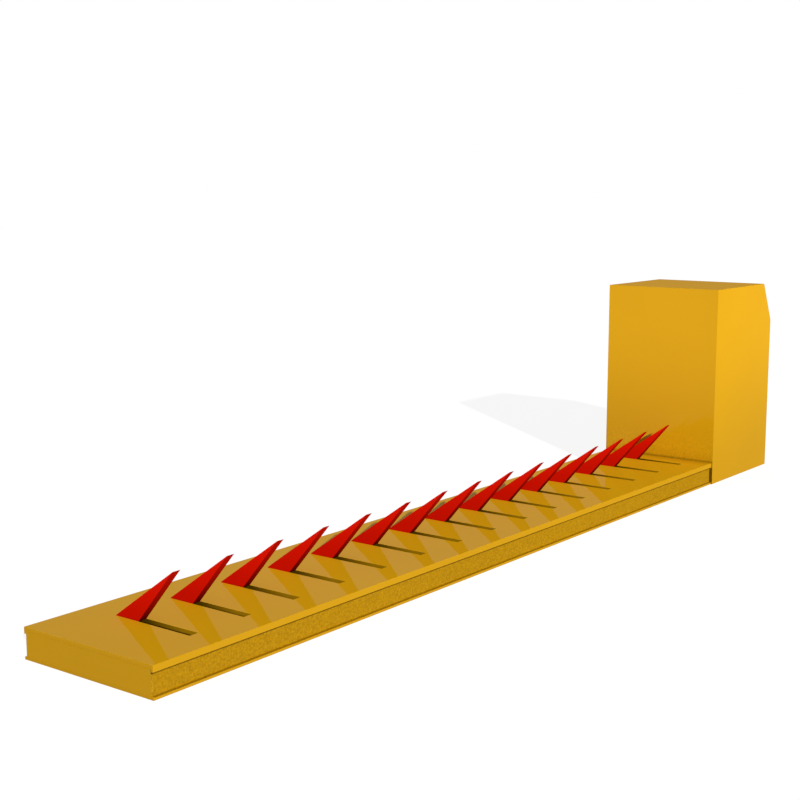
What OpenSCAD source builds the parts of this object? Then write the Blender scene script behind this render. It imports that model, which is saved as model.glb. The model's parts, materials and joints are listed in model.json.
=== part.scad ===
// Electric tyre spike strip: a raised box strip across a lane, with a row of
// leaning spikes on one shaft, and a drive cabinet at its far end.
// X runs along the strip to the cabinet, Y across it, Z is up from the ground.

/* [Strip] */
// Width over the cover and the base plate
strip_w = 495; // [480:1:560]
// Height of the cover's top above the ground
strip_h = 90; // [86:1:110]
// Thickness of the base plate
base_t = 8; // [6:1:10]
// Thickness of the cover plate
cover_t = 12; // [8:1:14]
// Height of the lip along the cover's long edges
lip_h = 19; // [15:1:30]
// How far the side rails stand in from the lips
rail_recess = 8; // [5:1:12]
// Thickness of the side rails
rail_t = 8; // [5:1:10]
// Thickness of the plates that stand across the strip
wall_t = 10; // [6:1:14]
// From the near end face to the first spike
near_margin = 215; // [170:1:300]
// From the last spike to the cabinet
far_margin = 86.5; // [75:0.5:150]

/* [Spikes] */
// Distance from one spike to the next
spike_pitch = 200; // [160:1:240]
// Thickness of a spike's plate
blade_t = 27.5; // [12:0.5:30]
// Height of the raised tips above the cover
spike_rise = 159; // [110:1:170]
// Width of a spike where it leaves the cover
spike_root_w = 90; // [60:1:105]
// How far the tip leans forward of the spike's back corner
spike_lean = 226; // [190:1:235]
// From the cover's far edge to a spike's back corner
spike_back_in = 116; // [110:0.5:125]
// Gap between a spike and each side of its slot
slot_gap = 1; // [0.5:0.1:2]
// Depth of the lowered tips below the cover's top
tip_sunk = 3; // [1:0.5:6]
// Least gap between a lowered spike and the base plate
floor_gap = 4; // [2:0.5:8]

/* [Shaft] */
// Diameter of the spike shaft
shaft_d = 32; // [24:1:34]
// From the cover's far edge to the middle of the shaft
shaft_in = 52.5; // [50:0.5:60]
// Wall of a spike's hub round the shaft
hub_wall = 7; // [5:1:8]
// Length of a spike's hub along the shaft
hub_l = 45; // [42:1:60]
// Gap between the hubs and the cover above them
hub_gap = 3; // [2:0.5:5]
// Diameter of the cross pins that hold the hubs
cross_pin_d = 8; // [5:0.5:9]
// Wall of a bearing bush
bush_wall = 4; // [3:0.5:5]
// Thickness of a bush's flange
bush_flange_t = 3; // [2:0.5:4]
// How far a bush's flange stands out round the bush
bush_flange_out = 4; // [3:0.5:4.5]
// Width of a shaft collar
collar_l = 12; // [8:1:18]

/* [Cabinet] */
// Length of the cabinet at its foot
cab_l = 552; // [500:1:640]
// How far the cabinet stands out past the cover on each side
cab_side = 5; // [2:1:40]
// Height of the cabinet
cab_h = 815; // [740:1:950]
// Length of the cabinet's flat top
cab_top_l = 468; // [420:1:490]
// Height where the back wall starts to slope inward
cab_shoulder_z = 652; // [652:1:700]
// Thickness of the cabinet's sheet steel
sheet_t = 3; // [2:0.5:4]
// Width of the flange that the walls stand on
foot_flange_w = 25; // [20:1:30]

/* [Door] */
// From the cabinet's sides to the door opening
door_side = 42.5; // [38:0.5:60]
// From the shoulder of the cabinet's back wall down to the door opening
door_top = 32; // [30:1:60]
// Height of the door opening's lower edge
door_z = 60; // [55:1:70]
// Gap all round the door
door_gap = 2; // [1.5:0.1:3]
// Depth of the door's folded edges
door_depth = 18; // [12:1:22]
// Diameter of a hinge knuckle
knuckle_d = 12; // [10:0.5:16]
// Height of one hinge
hinge_h = 70; // [50:1:90]
// Diameter of a hinge pin
hinge_pin_d = 6; // [4:0.5:7]
// Width of a hinge leaf beside its knuckle
leaf_w = 26; // [18:1:30]
// Width of the rubber seal
seal_w = 10; // [8:1:12]
// Thickness of the rubber seal
seal_t = 8; // [5:0.5:10]
// Diameter of the lock's barrel
lock_d = 22; // [18:0.5:26]
// From the door's free edge to the middle of the lock
lock_in = 36; // [34:1:60]
// Length of the lock's cam from its middle to its end
cam_l = 52; // [50:1:60]

/* [Drive] */
// Distance from the cabinet wall to the middle of the crank lever
lever_x = 62; // [58:1:80]
// Height of the drive pin above the shaft
lever_r = 95; // [88:1:120]
// Thickness of the crank lever
lever_t = 12; // [8:1:16]
// Diameter of the drive pin
drive_pin_d = 16; // [12:1:18]
// Gap between the drive pin and the lever's slot
pin_slot_gap = 0.5; // [0.3:0.1:0.8]
// Thickness of each ear of the fork
ear_t = 8; // [6:1:10]
// Diameter of the actuator's ram
ram_d = 30; // [24:1:32]
// Diameter of the actuator's tube
tube_d = 50; // [44:1:56]
// Length of the ram that stays inside the tube
ram_held = 70; // [50:1:80]
// Width and height of the actuator's gearbox
gearbox_w = 96; // [80:1:100]
// Length of the actuator's gearbox
gearbox_l = 66; // [50:1:70]
// Diameter of the motor
motor_d = 80; // [60:1:84]
// Length of the motor
motor_l = 125; // [90:1:130]
// Diameter of a position sensor
sensor_d = 12; // [8:1:14]

/* [Control box] */
// Width of the control box
box_w = 260; // [200:1:320]
// Height of the control box
box_h = 300; // [240:1:340]
// Depth of the control box
box_d = 95; // [70:1:120]
// Height of the control box's underside above the ground
box_z = 400; // [340:1:420]
// Wall of the control box
box_wall = 4; // [3:0.5:6]

/* [Anchors] */
// Diameter of the anchor holes
anchor_d = 18; // [12:1:22]
// From the cover's edges to the strip's anchor holes
anchor_in = 97.5; // [92:0.5:120]
// From a rib to the anchor holes beside it
anchor_shift = 45; // [35:1:48]
// From the cabinet's sides to its anchor holes
cab_anchor_in = 52.5; // [48:0.5:70]
// From the cabinet's back to its nearer anchor holes
cab_anchor_back = 62; // [50:1:70]
// Distance between the cabinet's anchor holes along the strip
cab_anchor_gap = 330; // [300:1:340]
// Diameter of the cable entry in the cabinet's base
cable_entry_d = 40; // [25:1:63]

/* [Fits] */
// Radial clearance of a shaft or a pin that turns in its hole
run_gap = 0.05; // [0.03:0.01:0.08]
// Radial clearance of what is fixed in its hole
seat_gap = 0.02; // [0.01:0.01:0.05]
// Clearance between pieces that pass each other
side_gap = 0.5; // [0.3:0.1:1]

/* [Hidden] */
$fn = 64;

paint_yellow = [0.93, 0.66, 0.08];
paint_red = [0.80, 0.05, 0.03];
bare_steel = [0.62, 0.63, 0.65];
dark_steel = [0.30, 0.31, 0.33];
bronze = [0.72, 0.52, 0.24];
drive_grey = [0.45, 0.48, 0.50];
box_grey = [0.78, 0.79, 0.78];
rubber_black = [0.08, 0.08, 0.08];

// The strip along X
spike_count = 15;
strip_l = near_margin + (spike_count - 1) * spike_pitch + blade_t + far_margin;
knuckle_off = 0.5;
hinge_out = knuckle_d + knuckle_off;
overall_l = strip_l + cab_l + hinge_out;
near_x = -overall_l / 2;
cab_x = near_x + strip_l;
cab_back_x = cab_x + cab_l;

// The strip's section
cavity_z = base_t;
cover_z = strip_h - cover_t;
cavity_h = cover_z - cavity_z;
rail_y = strip_w / 2 - rail_recess;
inner_y = rail_y - rail_t;
shaft_y = strip_w / 2 - shaft_in;
spike_back_y = strip_w / 2 - spike_back_in;
anchor_y = strip_w / 2 - anchor_in;

// The shaft lies as high as the cover allows its hubs
hub_r = shaft_d / 2 + hub_wall;
shaft_z = cover_z - hub_gap - hub_r;
bush_r = shaft_d / 2 + bush_wall;

// A raised spike, as seen along X: its tip and its two corners at the cover
tip = [spike_back_y - spike_lean, strip_h + spike_rise];
back_corner = [spike_back_y, strip_h];
front_corner = [spike_back_y - spike_root_w, strip_h];

// The shaft turns by swing until the tips lie below the cover's top
tip_reach = norm([shaft_y - tip[0], tip[1] - shaft_z]);
raised_angle = atan2(tip[1] - shaft_z, shaft_y - tip[0]);
lowered_angle = asin((strip_h - tip_sunk - shaft_z) / tip_reach);
swing = raised_angle - lowered_angle;

// Each slot runs from behind the back corner to just past the lowered tip
slot_w = blade_t + 2 * slot_gap;
slot_back_y = spike_back_y + slot_gap;
slot_front_y = shaft_y - tip_reach * cos(lowered_angle) - slot_gap;

// Ribs stand halfway between the spikes, and every third one holds a bearing
bearing_step = 3;
first_bearing_x = near_x + near_margin / 2;
bearing_count = 5;
drain_r = 18;
drain_y = inner_y / 3;
rib_shaft_gap = 6;

// The crank lever swings evenly to both sides of upright
lever_mid_x = cab_x + lever_x;
half_swing = swing / 2;
lever_hub_wall = 10;
lever_head_wall = 8;
lever_hub_r = shaft_d / 2 + lever_hub_wall;
lever_head_r = drive_pin_d / 2 + pin_slot_gap + lever_head_wall;
lever_boss_l = 18;
slot_spare = 2;
slot_low_r = lever_r - slot_spare;
slot_high_r = lever_r / cos(half_swing) + slot_spare;
pin_z = shaft_z + lever_r;
pin_y = shaft_y + lever_r * tan(half_swing);
pin_travel = 2 * lever_r * tan(half_swing);
shaft_tail = 12;
shaft_start_x = first_bearing_x - bush_flange_t - side_gap - collar_l - shaft_tail;
shaft_end_x = lever_mid_x + lever_t / 2 + lever_boss_l;

// The fork and the actuator lie along Y behind the drive pin
fork_gap = side_gap;
fork_w = lever_t + 2 * fork_gap + 2 * ear_t;
fork_wall = 8;
fork_r = drive_pin_d / 2 + fork_wall;
fork_slot_l = fork_r + 10;
fork_back_t = 12;
fork_back_y = pin_y - fork_slot_l - fork_back_t;
clip_t = 1.2;
clip_groove_t = clip_t + 0.1;
clip_groove_r = drive_pin_d / 2 - 0.8;
clip_r = drive_pin_d / 2 + 4;
pin_tail = 6;
ram_shown = 10;
ram_spare = 5;
tube_end_t = 10;
tube_front_y = fork_back_y - pin_travel - ram_shown;
ram_end_y = tube_front_y - ram_held;
tube_bore_end_y = ram_end_y - pin_travel - ram_spare;
tube_back_y = tube_bore_end_y - tube_end_t;
gearbox_back_y = tube_back_y - gearbox_l;
nose_l = 16;
nose_wall = 4;

// The cabinet's back wall leans inward above its shoulder
slope = atan2(cab_h - cab_shoulder_z, cab_l - cab_top_l);
cab_w = strip_w + 2 * cab_side;
shell_inner_y = cab_w / 2 - sheet_t;
foot_z = base_t;
foot_gap = 0.5;

// Bolts by their thread: clearance holes, hexagon heads
bolt_m8 = 8;
bolt_m12 = 12;
bolt_room = 0.5;

// The door lies flush in the back wall and turns on knuckles outside it
door_w = cab_w - 2 * door_side;
door_h = cab_shoulder_z - door_top - door_z;
hinge_x = cab_back_x + knuckle_off + knuckle_d / 2;
hinge_y = door_w / 2;
door_top_z = door_z + door_h;
frame_ledge = 12;
frame_flange = 18;
frame_t = 2;
seal_gap = 0.3;
frame_depth = door_depth + seal_gap + seal_t + frame_t;
lock_y = -(door_w / 2 - door_gap - lock_in);
lock_z = door_z + door_h / 2;
cam_t = 3;
cam_w = 18;
plug_r = lock_d / 2 - 4;

function spike_x(i) = near_x + near_margin + (i - 1) * spike_pitch;
function gap_x(i) = spike_x(i) + blade_t / 2 + spike_pitch / 2;
function bearing_x(i) = i == 1 ? first_bearing_x : gap_x((i - 1) * bearing_step) - wall_t / 2;
function is_bearing_gap(i) = i % bearing_step == 0 && i / bearing_step < bearing_count;
rib_gaps = [for (i = [1 : spike_count - 1]) if (!is_bearing_gap(i)) i];

// A plate across the strip, drawn as its outline in Y and Z
module across(x, t) {
    translate([x, 0, 0])
        rotate([90, 0, 90])
            linear_extrude(t)
                children();
}

// A round bar along X from its end at x
module bar_x(x, y, z, d, l) {
    translate([x, y, z])
        rotate([0, 90, 0])
            cylinder(d = d, h = l);
}

// A round bar along Y from its end at y
module bar_y(x, y, z, d, l) {
    translate([x, y, z])
        rotate([-90, 0, 0])
            cylinder(d = d, h = l);
}

// A box by two opposite corners
module block(low, high) {
    translate(low)
        cube(high - low);
}

// An upright arm of thickness t between two round ends, which stand out a little
module strap(t, low_z, low_r, high_z, high_r) {
    waist = 0.95;
    bar_x(0, 0, low_z, 2 * low_r, t);
    bar_x(0, 0, high_z, 2 * high_r, t);
    across(0, t)
        polygon([
            [-waist * low_r, low_z], [waist * low_r, low_z],
            [waist * high_r, high_z], [-waist * high_r, high_z]
        ]);
}

// An upright slot with round ends, cut through a plate of thickness t
module long_slot(t, low_z, high_z, r) {
    bar_x(-1, 0, low_z, 2 * r, t + 2);
    bar_x(-1, 0, high_z, 2 * r, t + 2);
    block([-1, -r, low_z], [t + 1, r, high_z]);
}

// A hexagon head on the end of a bolt, along Z
module hex_head(d, h) {
    cylinder(d = 1.9 * d, h = h, $fn = 6);
}

module anchor_holes(x) {
    for (side = [-1, 1])
        translate([x, side * anchor_y, -1])
            cylinder(d = anchor_d, h = base_t + 2);
}

// Gaps beside which the base plate is anchored to the road
anchor_gaps = [2, 5, 7, 8, 10, 13];

module base_plate() {
    color(paint_yellow)
        difference() {
            block([near_x, -strip_w / 2, 0], [cab_x, strip_w / 2, base_t]);
            for (i = anchor_gaps)
                anchor_holes(gap_x(i) + anchor_shift);
        }
}

module near_rail() {
    color(paint_yellow)
        block([near_x + wall_t, -rail_y, cavity_z], [cab_x - wall_t, -inner_y, cover_z]);
}

// Screws through the far rail hold the ribs, and the cover with them
screw_d = 6;
screw_head_d = 11;
screw_head_t = 3.5;
screw_grip = 20;
screw_z = cavity_z + 14;

module screw_hole(x) {
    bar_y(x, inner_y - screw_grip - 1, screw_z, screw_d + 2 * seat_gap, screw_grip + rail_t + 2);
}

module far_rail() {
    color(paint_yellow)
        difference() {
            block([near_x + wall_t, inner_y, cavity_z], [cab_x - wall_t, rail_y, cover_z]);
            for (i = rib_gaps)
                screw_hole(gap_x(i));
        }
}

module cover_screws() {
    color(bare_steel)
        for (i = rib_gaps) {
            bar_y(gap_x(i), inner_y - screw_grip, screw_z, screw_d, screw_grip + rail_t);
            bar_y(gap_x(i), rail_y, screw_z, screw_head_d, screw_head_t);
        }
}

// The outline of the strip's cavity between the given side faces
module cavity_outline(half_w) {
    translate([-half_w, cavity_z])
        square([2 * half_w, cavity_h]);
}

module drain_notches() {
    for (y = [-2 * drain_y, 0, drain_y])
        translate([y, cavity_z])
            circle(drain_r);
}

module end_plate() {
    color(paint_yellow)
        across(near_x, wall_t)
            cavity_outline(rail_y);
}

// Bolts in a row join the strip's end to the cabinet's wall
joining_near = 57.5;
joining_far = 107.5;
joining_step = (strip_w - joining_near - joining_far) / 3;
joining_y = [for (k = [0 : 3]) joining_near - strip_w / 2 + k * joining_step];
joining_z = cavity_z + cavity_h / 2;
joining_head_t = 7.5;

module joining_holes(x, l, gap) {
    for (y = joining_y)
        bar_x(x, y, joining_z, bolt_m12 + 2 * gap, l);
}

module drive_end_plate() {
    color(paint_yellow)
        difference() {
            across(cab_x - wall_t, wall_t)
                cavity_outline(rail_y);
            bar_x(cab_x - wall_t - 1, shaft_y, shaft_z, 2 * bush_r, wall_t + 2);
            joining_holes(cab_x - wall_t - 1, wall_t + 2, seat_gap);
        }
}

module joining_bolts() {
    color(bare_steel)
        for (y = joining_y) {
            bar_x(cab_x - wall_t, y, joining_z, bolt_m12, wall_t + sheet_t);
            translate([cab_x + sheet_t, y, joining_z])
                rotate([0, 90, 0])
                    hex_head(bolt_m12, joining_head_t);
        }
}

module bearing_plate(i) {
    color(paint_yellow)
        difference() {
            across(bearing_x(i), wall_t)
                difference() {
                    cavity_outline(inner_y);
                    drain_notches();
                }
            bar_x(bearing_x(i) - 1, shaft_y, shaft_z, 2 * bush_r, wall_t + 2);
        }
}

module cover_ribs() {
    color(paint_yellow)
        for (i = rib_gaps)
            difference() {
                across(gap_x(i) - wall_t / 2, wall_t)
                    difference() {
                        cavity_outline(inner_y);
                        drain_notches();
                        translate([shaft_y, shaft_z])
                            circle(shaft_d / 2 + rib_shaft_gap);
                    }
                screw_hole(gap_x(i));
            }
}

module cover_plate() {
    color(paint_yellow)
        difference() {
            union() {
                block([near_x, -strip_w / 2, cover_z], [cab_x, strip_w / 2, strip_h]);
                for (side = [-1, 1]) {
                    lip_w = rail_recess - side_gap;
                    low_y = side > 0 ? strip_w / 2 - lip_w : -strip_w / 2;
                    block([near_x, low_y, strip_h - lip_h], [cab_x, low_y + lip_w, strip_h]);
                }
            }
            for (i = [1 : spike_count])
                block([spike_x(i) - slot_gap, slot_front_y, cover_z - 1],
                      [spike_x(i) + blade_t + slot_gap, slot_back_y, strip_h + 1]);
        }
}

module bush(x, t) {
    difference() {
        union() {
            bar_x(x - bush_flange_t, shaft_y, shaft_z, 2 * (bush_r + bush_flange_out), bush_flange_t);
            bar_x(x, shaft_y, shaft_z, 2 * bush_r, t);
        }
        bar_x(x - bush_flange_t - 1, shaft_y, shaft_z, shaft_d + 2 * run_gap, t + bush_flange_t + 2);
    }
}

module shaft_bushes() {
    color(bronze) {
        for (i = [1 : bearing_count])
            bush(bearing_x(i), wall_t);
        bush(cab_x - wall_t, wall_t);
    }
}

// A spike as cut from plate: blade, shoulder under the cover, arm to the hub
module spike_outline() {
    hub = [shaft_y, shaft_z];
    arm_r = hub_r - 2;
    reach = front_corner - hub;
    touch = atan2(reach[1], reach[0]) + acos(arm_r / norm(reach));
    polygon([
        tip,
        back_corner,
        [spike_back_y, shaft_z + arm_r],
        [shaft_y, shaft_z + arm_r],
        hub,
        hub + arm_r * [cos(touch), sin(touch)],
        front_corner
    ]);
}

// Everything that the lowered spikes keep out of, turned back by the swing
module lowered_floor(x, l) {
    translate([x, shaft_y, shaft_z])
        rotate([-swing, 0, 0])
            translate([-1, -2 * strip_w, base_t + floor_gap - shaft_z - strip_w])
                cube([l + 2, 3 * strip_w, strip_w]);
}

function cross_pin_x(i) = spike_x(i) + (blade_t + hub_l) / 2;
lever_pin_x = lever_mid_x + (lever_t + lever_boss_l) / 2;

module cross_pin_hole(x, gap) {
    translate([x, shaft_y, shaft_z - hub_r - lever_hub_r])
        cylinder(d = cross_pin_d + 2 * gap, h = 2 * (hub_r + lever_hub_r));
}

module spike(i) {
    color(paint_red)
        difference() {
            union() {
                across(spike_x(i), blade_t)
                    spike_outline();
                bar_x(spike_x(i), shaft_y, shaft_z, 2 * hub_r, hub_l);
            }
            lowered_floor(spike_x(i), hub_l);
            bar_x(spike_x(i) - 1, shaft_y, shaft_z, shaft_d + 2 * seat_gap, hub_l + 2);
            cross_pin_hole(cross_pin_x(i), seat_gap);
        }
}

module spike_shaft() {
    color(bare_steel)
        difference() {
            bar_x(shaft_start_x, shaft_y, shaft_z, shaft_d, shaft_end_x - shaft_start_x);
            for (i = [1 : spike_count])
                cross_pin_hole(cross_pin_x(i), seat_gap);
            cross_pin_hole(lever_pin_x, seat_gap);
        }
}

module cross_pins() {
    pin_l = 2 * hub_r - 3;
    lever_pin_l = 2 * lever_hub_r - 3;
    color(dark_steel) {
        for (i = [1 : spike_count])
            translate([cross_pin_x(i), shaft_y, shaft_z - pin_l / 2])
                cylinder(d = cross_pin_d, h = pin_l);
        translate([lever_pin_x, shaft_y, shaft_z - lever_pin_l / 2])
            cylinder(d = cross_pin_d, h = lever_pin_l);
    }
}

module collar(x) {
    difference() {
        bar_x(x, shaft_y, shaft_z, 2 * hub_r, collar_l);
        bar_x(x - 1, shaft_y, shaft_z, shaft_d + 2 * seat_gap, collar_l + 2);
    }
}

// Collars on both sides of the first bearing keep the shaft from sliding
module shaft_collars() {
    color(dark_steel) {
        collar(bearing_x(1) - bush_flange_t - side_gap - collar_l);
        collar(bearing_x(1) + wall_t + side_gap);
    }
}

// The lever is drawn upright and then leant towards +Y by half the swing
module crank_lever() {
    color(drive_grey)
        difference() {
            translate([lever_mid_x - lever_t / 2, shaft_y, shaft_z])
                rotate([-half_swing, 0, 0]) {
                    difference() {
                        strap(lever_t, 0, lever_hub_r, slot_high_r, lever_head_r);
                        long_slot(lever_t, slot_low_r, slot_high_r, drive_pin_d / 2 + pin_slot_gap);
                    }
                    bar_x(lever_t, 0, 0, 2 * lever_hub_r, lever_boss_l);
                }
            bar_x(lever_mid_x - lever_t / 2 - 1, shaft_y, shaft_z,
                  shaft_d + 2 * seat_gap, lever_t + lever_boss_l + 2);
            cross_pin_hole(lever_pin_x, seat_gap);
        }
}

module ram_fork() {
    low_x = lever_mid_x - fork_w / 2;
    color(drive_grey)
        difference() {
            union() {
                bar_x(low_x, pin_y, pin_z, 2 * fork_r, fork_w);
                block([low_x, fork_back_y, pin_z - fork_r], [low_x + fork_w, pin_y, pin_z + fork_r]);
            }
            block([lever_mid_x - lever_t / 2 - fork_gap, pin_y - fork_slot_l, pin_z - 2 * fork_r],
                  [lever_mid_x + lever_t / 2 + fork_gap, pin_y + 2 * fork_r, pin_z + 2 * fork_r]);
            bar_x(low_x - 1, pin_y, pin_z, drive_pin_d + 2 * seat_gap, fork_w + 2);
        }
}

// Places of the two clips beside the fork
function clip_x(side) = side < 0
    ? lever_mid_x - fork_w / 2 - clip_t - (clip_groove_t - clip_t) / 2
    : lever_mid_x + fork_w / 2 + (clip_groove_t - clip_t) / 2;

module drive_pin() {
    low_x = lever_mid_x - fork_w / 2 - pin_tail;
    groove_room = (clip_groove_t - clip_t) / 2;
    color(bare_steel)
        difference() {
            bar_x(low_x, pin_y, pin_z, drive_pin_d, fork_w + 2 * pin_tail);
            for (side = [-1, 1])
                difference() {
                    bar_x(clip_x(side) - groove_room, pin_y, pin_z, drive_pin_d + 2, clip_groove_t);
                    bar_x(clip_x(side) - groove_room - 1, pin_y, pin_z,
                          2 * clip_groove_r, clip_groove_t + 2);
                }
        }
}

module pin_clips() {
    color(dark_steel)
        for (side = [-1, 1])
            difference() {
                bar_x(clip_x(side), pin_y, pin_z, 2 * clip_r, clip_t);
                bar_x(clip_x(side) - 1, pin_y, pin_z, 2 * (clip_groove_r + seat_gap), clip_t + 2);
            }
}

module actuator_ram() {
    color(bare_steel)
        bar_y(lever_mid_x, ram_end_y, pin_z, ram_d, fork_back_y - ram_end_y);
}

module actuator_tube() {
    color(box_grey)
        difference() {
            union() {
                bar_y(lever_mid_x, tube_back_y, pin_z, tube_d, tube_front_y - tube_back_y);
                bar_y(lever_mid_x, tube_front_y - nose_l, pin_z, tube_d + 2 * nose_wall, nose_l);
            }
            bar_y(lever_mid_x, tube_bore_end_y, pin_z, ram_d + 2 * run_gap,
                  tube_front_y - tube_bore_end_y + 1);
        }
}

// A gearbox with cut corners and a round flange towards the motor
module actuator_gearbox() {
    corner = gearbox_w / 6;
    half = gearbox_w / 2;
    flange_t = 8;
    color(drive_grey)
        translate([lever_mid_x, tube_back_y, pin_z])
            rotate([90, 0, 0]) {
                linear_extrude(gearbox_l - flange_t)
                    polygon([
                        [corner - half, -half], [half - corner, -half],
                        [half, corner - half], [half, half - corner],
                        [half - corner, half], [corner - half, half],
                        [-half, half - corner], [-half, corner - half]
                    ]);
                translate([0, 0, gearbox_l - flange_t])
                    cylinder(d = motor_d + 8, h = flange_t);
            }
}

// The motor's body with cooling ribs, and its plain end cap
module actuator_motor() {
    rib_count = 9;
    cap_l = 24;
    body_l = motor_l - cap_l;
    rib_step = body_l / rib_count;
    color(dark_steel) {
        bar_y(lever_mid_x, gearbox_back_y - body_l, pin_z, motor_d - 8, body_l);
        for (i = [0 : rib_count - 1])
            bar_y(lever_mid_x, gearbox_back_y - rib_step * (i + 0.5), pin_z, motor_d, rib_step / 2);
        bar_y(lever_mid_x, gearbox_back_y - motor_l, pin_z, motor_d, cap_l);
    }
}

// A pedestal under the gearbox: foot, two cheeks and a seat
module actuator_bracket() {
    half = gearbox_w / 2;
    corner = gearbox_w / 6;
    cheek_t = 8;
    seat_z = pin_z - half;
    front_y = tube_back_y - 4;
    rear_y = tube_back_y - gearbox_l + 12;
    color(paint_yellow) {
        block([lever_mid_x - half, rear_y - 18, base_t], [lever_mid_x + half, front_y + 18, base_t + cheek_t]);
        block([lever_mid_x - half + corner, rear_y, seat_z - cheek_t],
              [lever_mid_x + half - corner, front_y, seat_z]);
        for (side = [-1, 1]) {
            cheek_x = lever_mid_x + side * (half - corner - cheek_t / 2);
            block([cheek_x - cheek_t / 2, rear_y, base_t + cheek_t],
                  [cheek_x + cheek_t / 2, front_y, seat_z - cheek_t]);
        }
    }
}

// A plate with a bore that carries the front of the tube
module tube_saddle() {
    saddle_t = 12;
    half = tube_d / 2 + 14;
    saddle_y = tube_front_y - nose_l - saddle_t - 20;
    color(paint_yellow)
        difference() {
            union() {
                block([lever_mid_x - half, saddle_y, base_t], [lever_mid_x + half, saddle_y + saddle_t, pin_z]);
                bar_y(lever_mid_x, saddle_y, pin_z, 2 * half, saddle_t);
                block([lever_mid_x - half, saddle_y - 16, base_t],
                      [lever_mid_x + half, saddle_y + saddle_t + 16, base_t + 8]);
            }
            bar_y(lever_mid_x, saddle_y - 1, pin_z, tube_d + 2 * seat_gap, saddle_t + 2);
        }
}

// Two sensors look at the lever's side where it stops raised and lowered
sensor_r = 60;
sensor_air = 2;
sensor_l = 46;
sensor_z = shaft_z + sensor_r * cos(half_swing);
sensor_nut_t = 5;
sensor_plate_t = 6;
sensor_x = lever_mid_x + lever_t / 2 + sensor_air;
sensor_plate_x = max(shaft_end_x + 3, sensor_x + 18);

function sensor_y(side) = shaft_y + side * sensor_r * sin(half_swing);

module sensor_bracket() {
    half_w = sensor_r * sin(half_swing) + sensor_d;
    foot_l = 34;
    color(bare_steel)
        difference() {
            union() {
                block([sensor_plate_x, shaft_y - half_w, base_t],
                      [sensor_plate_x + sensor_plate_t, shaft_y + half_w, sensor_z + sensor_d + 8]);
                block([sensor_plate_x, shaft_y - half_w, base_t],
                      [sensor_plate_x + foot_l, shaft_y + half_w, base_t + sensor_plate_t]);
            }
            for (side = [-1, 1])
                bar_x(sensor_plate_x - 1, sensor_y(side), sensor_z, sensor_d + 2 * seat_gap, sensor_plate_t + 2);
        }
}

module position_sensors() {
    color(dark_steel)
        for (side = [-1, 1]) {
            bar_x(sensor_x, sensor_y(side), sensor_z, sensor_d, sensor_l);
            for (x = [sensor_plate_x - sensor_nut_t, sensor_plate_x + sensor_plate_t])
                translate([x, sensor_y(side), sensor_z])
                    rotate([0, 90, 0])
                        cylinder(d = sensor_d * 1.6, h = sensor_nut_t, $fn = 6);
        }
}

// The control box stands on the inside of the wall towards the strip
box_x = cab_x + sheet_t;
lid_t = 18;
gland_d = 20;
gland_gap = 80;
gland_y = [-gland_gap, 0, gland_gap];

module control_box() {
    color(box_grey)
        difference() {
            block([box_x, -box_w / 2, box_z], [box_x + box_d - lid_t, box_w / 2, box_z + box_h]);
            block([box_x + box_wall, box_wall - box_w / 2, box_z + box_wall],
                  [box_x + box_d, box_w / 2 - box_wall, box_z + box_h - box_wall]);
            for (y = gland_y)
                translate([box_x + box_d / 2, y, box_z - 1])
                    cylinder(d = gland_d + 2 * seat_gap, h = box_wall + 2);
        }
}

module control_lid() {
    low_x = box_x + box_d - lid_t;
    color(box_grey)
        difference() {
            block([low_x, -box_w / 2, box_z], [low_x + lid_t, box_w / 2, box_z + box_h]);
            block([low_x - 1, box_wall - box_w / 2, box_z + box_wall],
                  [low_x + lid_t - box_wall, box_w / 2 - box_wall, box_z + box_h - box_wall]);
        }
}

// Glands whose cables aren't fitted: a threaded neck, a flange and a cap
module cable_glands() {
    neck = 10;
    cap_l = 18;
    bore_d = 11;
    color(rubber_black)
        for (y = gland_y)
            translate([box_x + box_d / 2, y, box_z])
                difference() {
                    union() {
                        cylinder(d = gland_d, h = neck);
                        translate([0, 0, -5])
                            cylinder(d = gland_d * 1.35, h = 5, $fn = 6);
                        translate([0, 0, -5 - cap_l])
                            cylinder(d1 = gland_d * 0.8, d2 = gland_d * 1.1, h = cap_l);
                    }
                    translate([0, 0, -6 - cap_l])
                        cylinder(d = bore_d, h = neck + cap_l + 8);
                }
}

// Holes of the cabinet's base: anchors, the cable entry, the foot's bolts
cab_anchor_x = cab_back_x - cab_anchor_back - cab_anchor_gap / 2;
cab_anchor_y = cab_w / 2 - cab_anchor_in;
cable_entry_x = cab_anchor_x;
foot_bolt_y = shell_inner_y - foot_flange_w / 2;
foot_bolt_z = foot_z + sheet_t;
foot_bolt_in = 60;
foot_bolt_x = [cab_x + foot_bolt_in, cab_x + cab_l / 2, cab_back_x - foot_bolt_in];
foot_head_t = 5.3;

module foot_bolt_places() {
    for (x = foot_bolt_x)
        for (side = [-1, 1])
            translate([x, side * foot_bolt_y, 0])
                children();
}

module cabinet_base() {
    color(paint_yellow)
        difference() {
            block([cab_x + sheet_t + foot_gap, foot_gap - shell_inner_y, 0],
                  [cab_back_x - sheet_t - foot_gap, shell_inner_y - foot_gap, base_t]);
            for (side_x = [-1, 1])
                for (side_y = [-1, 1])
                    translate([cab_anchor_x + side_x * cab_anchor_gap / 2, side_y * cab_anchor_y, -1])
                        cylinder(d = anchor_d, h = base_t + 2);
            translate([cable_entry_x, 0, -1])
                cylinder(d = cable_entry_d, h = base_t + 2);
            foot_bolt_places()
                translate([0, 0, -1])
                    cylinder(d = bolt_m8 + 2 * seat_gap, h = base_t + 2);
        }
}

module shell_bolts() {
    color(bare_steel)
        foot_bolt_places() {
            translate([0, 0, 1])
                cylinder(d = bolt_m8, h = foot_bolt_z - 1);
            translate([0, 0, foot_bolt_z])
                hex_head(bolt_m8, foot_head_t);
        }
}

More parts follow.
